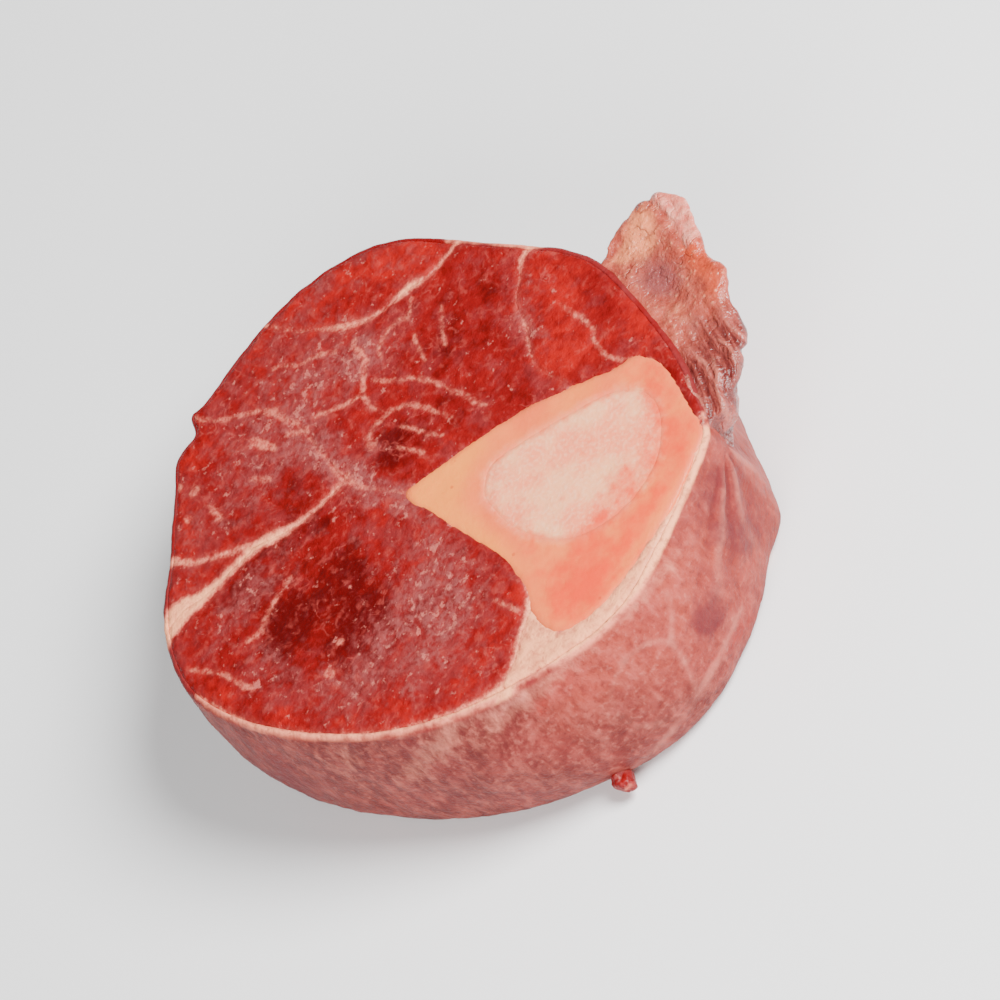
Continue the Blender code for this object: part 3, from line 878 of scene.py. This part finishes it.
class Finish:
    def __init__(self, name, **constants):
        self.material = bpy.data.materials.new(name)
        self.material.use_nodes = True
        self.tree = self.material.node_tree
        self.shader = self.tree.nodes["Principled BSDF"]
        for socket, value in constants.items():
            self.shader.inputs[socket.replace("_", " ")].default_value = value
        self.place = self.add("TexCoord").outputs["Object"]

    def feed(self, socket, value):
        if isinstance(value, bpy.types.NodeSocket):
            self.tree.links.new(value, socket)
        else:
            socket.default_value = value

    def add(self, kind, inputs=None, **settings):
        node = self.tree.nodes.new("ShaderNode" + kind)
        for name, value in settings.items():
            setattr(node, name, value)
        for name, value in (inputs or {}).items():
            self.feed(node.inputs[name], value)
        return node

    def fields(self, names):
        return [self.add("Attribute", attribute_name=name).outputs["Fac"] for name in names.split()]

    def maths(self, operation, a, b=0.0):
        return self.add("Math", {0: a, 1: b}, operation=operation).outputs[0]

    def times(self, a, b):
        return self.maths("MULTIPLY", a, b)

    def plus(self, a, b, share=None):
        """The sum of two values, or of one and a share of the other."""
        return self.maths("ADD", a, b if share is None else self.times(b, share))

    def centred(self, value):
        return self.maths("SUBTRACT", value, 0.5)

    def noise(self, size, detail=3.0, rough=0.55, vector=None, output="Fac"):
        inputs = {"Vector": vector or self.place, "Scale": 1 / (size * MM)}
        inputs |= {"Detail": detail, "Roughness": rough}
        return self.add("TexNoise", inputs).outputs[output]

    def cells(self, size, vector=None):
        inputs = {"Vector": vector or self.place, "Scale": 1 / (size * MM)}
        return self.add("TexVoronoi", inputs, feature="F1").outputs["Distance"]

    def ridge(self, size, width, vector=None):
        """Thin wandering lines, where soft noise passes through its middle value."""
        away = self.maths("ABSOLUTE", self.centred(self.noise(size, 2, 0.5, vector)))
        return self.ramp(away, 0.0, width, 1.0, 0.0)

    def ramp(self, value, low, high, start=0.0, end=1.0):
        inputs = {"Value": value, "From Min": low, "From Max": high, "To Min": start, "To Max": end}
        return self.add("MapRange", inputs, interpolation_type="SMOOTHSTEP").outputs[0]

    def broken(self, mask, value, low, high, least):
        """A mask that thins out to its least share where the value is low."""
        return self.times(mask, self.ramp(value, low, high, least, 1.0))

    def mix(self, share, a, b):
        return self.add("Mix", {0: share, 6: a, 7: b}, data_type="RGBA").outputs[2]

    def layers(self, colour, *coats):
        """Coats: a value, where the coat starts and is full, how much it hides, and its colour."""
        for value, low, high, amount, paint in coats:
            colour = self.mix(self.ramp(value, low, high, 0.0, amount), colour, paint)
        return colour

    def vector(self, operation, a, inputs):
        return self.add("VectorMath", {0: a, **inputs}, operation=operation).outputs[0]

    def drifted(self, size, amount):
        """Coordinates pushed about by noise, so that a pattern on them wanders."""
        push = self.vector("SUBTRACT", self.noise(size, 2, 0.5, output="Color"), {1: (0.5, 0.5, 0.5)})
        return self.vector("ADD", self.place, {1: self.vector("SCALE", push, {"Scale": 2 * amount * MM})})

    def surface(self, colour, roughness, *heights):
        """Joins colour and roughness to the shader, and a bump of values with how high each stands."""
        total = None
        for value, height in heights:
            part = self.times(value, height)
            total = part if total is None else self.plus(total, part)
        bump = self.add("Bump", {"Height": total, "Distance": MM, "Strength": 1.0})
        for name, value in (("Base Color", colour), ("Roughness", roughness), ("Normal", bump.outputs[0])):
            self.feed(self.shader.inputs[name], value)
        return self.material


# %% [markdown]
# ## Finish of the cut meat
# Red muscle with its bundles of fibre seen end on, a net of fine marbling, pale veins, frosty patches of
# smeared fat with a painted wet sheen, and the seams of fascia and granular fat. It is moist, so its
# highlights are small and broken, and pale flecks are painted glints of that wetness.

# %% Finish of the cut meat
BRIGHT_RED, MID_RED, MAROON = rgb(160, 17, 15), rgb(124, 13, 15), rgb(84, 5, 7)
MAUVE, PINK_FASCIA, FASCIA = rgb(124, 40, 41), rgb(174, 70, 62), rgb(230, 130, 104)
CREAM_FAT, FROST_AND_SHEEN, PAINTED_GLINT = rgb(254, 164, 118), rgb(140, 68, 66), rgb(200, 110, 98)


def meat_finish():
    f = Finish("cut_meat", Specular_IOR_Level=0.2)
    seam, vein, dark, haze = f.fields("seam vein dark haze")
    broad, medium, fine, dust = f.noise(9, 3), f.noise(3.4, 4, 0.6), f.noise(1.2, 3, 0.6), f.noise(0.6, 2)
    swirl = f.drifted(8, 2)
    bundle = f.noise(2.4, 3, 0.55, swirl)
    ragged = f.times(f.centred(f.noise(2.2, 4, 0.68)), 4)
    depth = f.plus(f.plus(dark, f.centred(broad), 2), f.centred(medium), 1.6)
    fresh = f.maths("SUBTRACT", haze, f.maths("ABSOLUTE", dark))
    colour = f.layers(
        BRIGHT_RED,
        (depth, -0.9, 0.1, 1, MID_RED),
        (depth, 0.1, 1, 1, MAROON),
        (f.plus(f.noise(5, 4, 0.6), fresh, 0.15), 0.43, 0.67, 0.7, MAUVE),
        (bundle, 0.5, 0.3, 0.4, MAROON),
        (f.plus(bundle, haze, 0.05), 0.54, 0.74, 0.35, PINK_FASCIA),
    )
    net = f.times(f.ridge(6, 0.03, swirl), f.ramp(f.noise(10, 2), 0.45, 0.65, 0, 0.5))
    colour = f.mix(f.broken(net, fine, 0.4, 0.6, 0.2), colour, PINK_FASCIA)
    # Frosty pink over the haze patches: partly smeared fat, partly a painted wet sheen.
    frost_and_sheen = f.ramp(f.plus(haze, f.centred(medium), 2), 0.15, 1.1, 0, 0.85)
    frost_and_sheen = f.broken(frost_and_sheen, fine, 0.34, 0.6, 0.25)
    colour = f.mix(frost_and_sheen, colour, FROST_AND_SHEEN)
    # Pale pink flecks clumped in the haze: painted glints of the wet surface.
    crowd = f.plus(f.times(f.centred(f.noise(6, 2)), 0.3), haze, 0.1)
    painted_glint = f.ramp(f.plus(f.noise(2.1, 4, 0.62), crowd), 0.635, 0.74)
    colour = f.mix(f.times(painted_glint, 0.55), colour, PAINTED_GLINT)
    thread = f.ramp(f.plus(vein, ragged, 0.5), 0.6, -0.6)
    thread = f.broken(thread, f.noise(2.4, 3), 0.34, 0.6, 0.25)
    colour = f.mix(thread, colour, f.mix(f.ramp(fine, 0.35, 0.65), PINK_FASCIA, FASCIA))
    nearest = f.maths("MINIMUM", seam, f.plus(vein, 0.6))
    halo = f.ramp(f.plus(nearest, ragged), 1.8, -1, 0, 0.6)
    colour = f.mix(f.broken(halo, fine, 0.3, 0.6, 0.4), colour, PINK_FASCIA)
    depth_of_fat = f.plus(seam, ragged, 0.5)
    fat = f.broken(f.ramp(depth_of_fat, 0.5, -0.4), f.noise(4, 2), 0.3, 0.55, 0.65)
    thick = f.broken(f.ramp(depth_of_fat, -0.1, -1.2), fine, 0.3, 0.55, 0.6)
    fat_colour = f.mix(thick, f.mix(f.ramp(fine, 0.3, 0.7), PINK_FASCIA, FASCIA), CREAM_FAT)
    roughness = f.plus(f.ramp(fine, 0.25, 0.75, 0.28, 0.44), frost_and_sheen, 0.12)
    return f.surface(
        f.mix(fat, colour, fat_colour), roughness,
        (fine, 0.2), (dust, 0.08), (medium, 0.35), (bundle, 0.25), (fat, 0.1), (thread, 0.05), (painted_glint, 0.05),
    )


meat = meat_finish()
for piece in (*muscles.values(), tag):
    piece.data.materials.clear()
    piece.data.materials.append(meat)

# %% [markdown]
# ## Finish of the bone
# Pale peach and faintly translucent, warmer towards the membrane where blood has soaked in, with a thin
# coral line where the dense shaft meets the spongy core. The core is paler, pinker and full of fine pores.

# %% Finish of the bone
def bone_finish():
    f = Finish("sawn_bone", Specular_IOR_Level=0.3, Subsurface_Weight=0.12, Subsurface_Scale=2 * MM)
    blush, yellow, ring, edge = f.fields("blush yellow ring edge")
    broad, medium, fine, dust = f.noise(10, 3), f.noise(3, 4, 0.6), f.noise(0.9, 3), f.noise(0.4, 2)
    wander = f.times(f.centred(medium), 3.5)
    shaft = f.layers(
        rgb(244, 122, 62),
        (broad, 0.3, 0.7, 1, rgb(236, 104, 56)),
        (f.plus(yellow, wander, 0.1), 0.1, 1, 0.8, rgb(248, 142, 52)),
    )
    inner = f.layers(
        rgb(255, 170, 122),
        (broad, 0.35, 0.65, 1, rgb(255, 138, 98)),
        (fine, 0.42, 0.7, 0.4, rgb(255, 196, 158)),
        (medium, 0.52, 0.75, 0.35, rgb(246, 116, 78)),
    )
    spongy = f.ramp(f.plus(ring, wander), 2.2, -2.2)
    colour = f.mix(spongy, shaft, inner)
    colour = f.layers(colour, (f.plus(blush, wander, 0.4), 0.05, 1.2, 0.9, rgb(236, 58, 24)))
    near = f.maths("ABSOLUTE", f.plus(ring, wander, 0.6))
    line = f.times(f.ramp(near, 1.4, 0), f.ramp(f.noise(14, 2), 0.4, 0.6, 0, 0.5))
    colour = f.mix(line, colour, rgb(236, 100, 66))
    speck = f.times(f.ramp(f.cells(5.5), 0.05, 0.1, 1, 0), f.ramp(f.noise(9, 1), 0.5, 0.6, 0, 0.4))
    colour = f.mix(speck, colour, rgb(180, 24, 16))
    colour = f.layers(colour, (f.plus(edge, wander, 0.4), 1.1, 0, 0.5, rgb(226, 104, 66)))
    pores = f.times(fine, f.plus(spongy, 0.5))
    return f.surface(colour, f.ramp(fine, 0.2, 0.8, 0.36, 0.54), (pores, 0.1), (dust, 0.06), (medium, 0.2))


shaft_and_core = bone_finish()
bone.data.materials.append(shaft_and_core)
core.data.materials.append(shaft_and_core)

# %% [markdown]
# ## Finish of the membrane
# Mauve on the left, salmon on the right, mottled and finely speckled, with soft upright streaks. The lip at
# the cut face takes the colours of the meat beside it. The fold crests are painted lighter and the troughs
# darker as painted light and shade, and the foot of the wall is painted a darker red as painted contact
# shade.

# %% Finish of the membrane
def membrane_finish():
    f = Finish("membrane", Specular_IOR_Level=0.08)
    bruise, red, warm, pale, vein = f.fields("bruise red warm pale vein")
    seam, dark, fold = f.fields("seam dark fold")
    broad, medium, fine, dust = f.noise(12, 3), f.noise(4, 4, 0.62), f.noise(1.5, 3, 0.55), f.noise(0.6, 2)
    streak = f.noise(2.8, 4, 0.62, f.vector("MULTIPLY", f.drifted(9, 2.4), {1: (1, 1, 0.35)}))
    wander = f.centred(medium)
    colour = f.layers(
        rgb(98, 35, 33),
        (f.plus(warm, f.centred(broad)), 0, 1, 1, rgb(154, 60, 48)),
        (broad, 0.4, 0.65, 0.35, rgb(128, 48, 48)),
        (streak, 0.42, 0.82, 0.6, rgb(186, 94, 82)),
        (streak, 0.54, 0.2, 0.6, rgb(96, 32, 33)),
        (medium, 0.4, 0.85, 0.5, rgb(184, 88, 78)),
        (fine, 0.5, 0.8, 0.5, rgb(190, 104, 92)),
        (fine, 0.46, 0.24, 0.5, rgb(92, 30, 30)),
        # Fold crests painted lighter and fold troughs painted darker: painted highlight and shade on the
        # folds.
        (fold, 0.1, 0.8, 0.45, rgb(206, 120, 104)),
        (fold, -0.1, -0.8, 0.6, rgb(110, 30, 26)),
        (f.plus(bruise, wander, 1.7), 0.15, 1.2, 0.75, rgb(88, 28, 36)),
    )
    blood = f.ramp(f.plus(red, wander, 1.1), 0.05, 1.2, 0, 0.6)
    colour = f.mix(f.broken(blood, fine, 0.35, 0.6, 0.3), colour, rgb(150, 24, 20))
    light = f.plus(pale, f.centred(streak), 1.1)
    colour = f.layers(colour, (light, 0.2, 0.95, 0.6, rgb(216, 128, 106)))
    thread = f.ramp(f.plus(vein, wander, 4), 1.3, -0.6, 0, 0.4)
    thread = f.broken(thread, broad, 0.35, 0.65, 0.2)
    colour = f.mix(thread, colour, rgb(214, 128, 112))
    height = f.add("SeparateXYZ", {0: f.place}).outputs[2]
    # Darker red towards the foot of the wall: painted contact shade.
    colour = f.layers(colour, (f.plus(height, wander, 6 * MM), 5 * MM, 0, 0.6, rgb(112, 24, 22)))
    lip = f.ramp(f.plus(height, wander, 1.2 * MM), (THICK - 2.2) * MM, (THICK - 1) * MM)
    band = f.broken(f.ramp(f.plus(seam, wander, 2.6), 1.2, -0.4), fine, 0.25, 0.55, 0.5)
    lip_meat = f.mix(f.ramp(f.plus(dark, wander, 2), -0.8, 0.4), MID_RED, MAUVE)
    lip_fat = f.mix(f.ramp(f.plus(seam, wander, 1.5), 0, -1), FASCIA, CREAM_FAT)
    return f.surface(
        f.mix(lip, colour, f.mix(band, lip_meat, lip_fat)), f.ramp(fine, 0.25, 0.75, 0.38, 0.58),
        (streak, 0.35), (medium, 0.35), (fine, 0.3), (dust, 0.1), (thread, 0.1),
    )


membrane.data.materials.append(membrane_finish())

# %% [markdown]
# ## Finish of the flap
# Peach fat with grains and fine creases, a pearly pink lobe of tendon at the tip, rust-coloured edges and a
# purplish silver skin with strands where the flap narrows. Painted shade darkens the creases, the fold
# troughs and the underside, and a painted highlight lightens the fold crests.

# %% Finish of the flap
def flap_finish():
    f = Finish("flap_fat", Specular_IOR_Level=0.5, Subsurface_Weight=0.12, Subsurface_Scale=1.5 * MM)
    along, across, fold, waist, lobe = f.fields("along across fold waist lobe")
    rust, bruise, cream, height = f.fields("rust bruise cream height")
    broad, medium, fine, dust = f.noise(8, 3), f.noise(3, 4, 0.6), f.noise(1, 3), f.noise(0.4, 2)
    lengthways = f.add("CombineXYZ", {0: f.times(across, MM), 1: f.times(along, 0.9 * MM), 2: 0.0})
    thread = f.noise(0.9, 3, 0.6, lengthways.outputs[0])
    wear = f.times(f.centred(medium), 1.1)
    colour = f.layers(
        rgb(152, 60, 47),
        (medium, 0.3, 0.7, 1, rgb(192, 94, 74)),
        (broad, 0.45, 0.7, 0.6, rgb(140, 54, 46)),
        (f.plus(cream, wear), 0.3, 1, 0.8, rgb(236, 136, 90)),
        (f.plus(rust, wear), 0.25, 1, 0.8, rgb(192, 66, 32)),
    )
    grains = f.ramp(f.cells(1.5, f.drifted(2.5, 0.5)), 0.1, 0.42, 1, 0)
    grains = f.broken(grains, medium, 0.4, 0.6, 0)
    colour = f.mix(f.times(grains, 0.6), colour, rgb(240, 150, 112))
    # Dark lines along the bump's creases: painted shade in the creases.
    crease = f.times(f.ridge(5, 0.05, f.drifted(5, 1.5)), f.ramp(broad, 0.4, 0.6, 0.2, 0.9))
    colour = f.mix(f.times(crease, 0.4), colour, rgb(120, 40, 34))
    skin = f.layers(
        rgb(102, 37, 34),
        (thread, 0.35, 0.65, 1, rgb(162, 76, 66)),
        # Fold troughs painted darker and fold crests lighter: painted shade and highlight on the folds.
        (fold, 0, -0.8, 0.7, rgb(88, 28, 26)),
        (fold, 0.3, 0.9, 0.45, rgb(196, 112, 94)),
    )
    colour = f.layers(
        colour,
        (fine, 0.45, 0.25, 0.5, rgb(120, 36, 26)),
        (f.plus(bruise, wear), 0.05, 0.8, 0.85, rgb(128, 64, 64)),
        (f.plus(waist, wear, 0.5), 0.2, 0.8, 1, skin),
    )
    pearl = f.mix(f.ramp(medium, 0.35, 0.65), rgb(210, 104, 88), rgb(238, 150, 128))
    underside_shade = f.mix(f.ramp(fine, 0.3, 0.7), rgb(120, 34, 30), rgb(170, 76, 66))
    strands = f.times(thread, waist)
    colour = f.mix(lobe, colour, pearl)
    # Darker towards the lower part of the flap: painted shade on its underside.
    colour = f.layers(colour, (f.plus(height, wear, 5), 36, 24, 0.75, underside_shade))
    return f.surface(
        colour, f.ramp(fine, 0.25, 0.75, 0.2, 0.36),
        (medium, 0.8), (fine, 0.25), (dust, 0.05), (grains, 0.12), (crease, -0.2), (strands, 0.2),
    )


flap.data.materials.append(flap_finish())
print(len(bpy.data.materials), "materials")

# %% [markdown]
# ## Joining the looks to the model
# Every piece rides on the one body and stands for a node of the solid model.

# %% Joining the looks to the model
for piece in (*muscles.values(), membrane, flap, tag):
    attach(piece, "root")
    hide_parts("flesh")
for piece, node in ((bone, "bone"), (core, "marrow")):
    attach(piece, "root")
    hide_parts(node)
print("riding")

# %% [markdown]
# ## Floor, light and camera
# A plain white floor and soft light from above. The camera looks down on the cut face and is rolled, so that
# the near wall shows below and to the right of the face.

# %% Floor, light and camera
bpy.ops.mesh.primitive_plane_add(size=8, location=(0, 0, -0.0002))
floor = bpy.context.object
floor.name = "floor"
paper = Finish("white_floor", Base_Color=(0.93, 0.93, 0.93, 1), Roughness=0.9, Specular_IOR_Level=0.1)
floor.data.materials.append(paper.material)

world = bpy.data.worlds.new("studio")
bpy.context.scene.world = world
world.use_nodes = True
background = world.node_tree.nodes["Background"]
background.inputs["Color"].default_value = (1, 1, 1, 1)
background.inputs["Strength"].default_value = 0.2

ELEVATION = math.radians(49)
ROLL = math.radians(49)
CAMERA_DISTANCE = 2.0
ahead = Vector((0, math.cos(ELEVATION), -math.sin(ELEVATION)))
level_up = Vector((0, math.sin(ELEVATION), math.cos(ELEVATION)))
across = Vector((1, 0, 0))
right = across * math.cos(ROLL) - level_up * math.sin(ROLL)
up = across * math.sin(ROLL) + level_up * math.cos(ROLL)
target = Vector((0.002, 0.0, 0.022))


def lamp(name, place, size, power):
    data = bpy.data.lights.new(name, "AREA")
    data.shape = "DISK"
    data.size = size
    data.energy = power
    made = linked(name, data)
    made.location = target + place
    made.rotation_euler = (-place).to_track_quat("-Z", "Y").to_euler()


lamp("key", Vector((0.66, -0.5, 0.88)), 0.6, 40)
lamp("fill", Vector((-0.5, -0.7, 0.5)), 0.8, 12)

camera_data = bpy.data.cameras.new("camera")
camera_data.lens = 324
camera_data.sensor_width = 36
camera = linked("camera", camera_data)
turned = Matrix((right, up, -ahead)).transposed().to_4x4()
camera.matrix_world = Matrix.Translation(target - ahead * CAMERA_DISTANCE) @ turned
bpy.context.scene.camera = camera
print("camera at", camera.location)
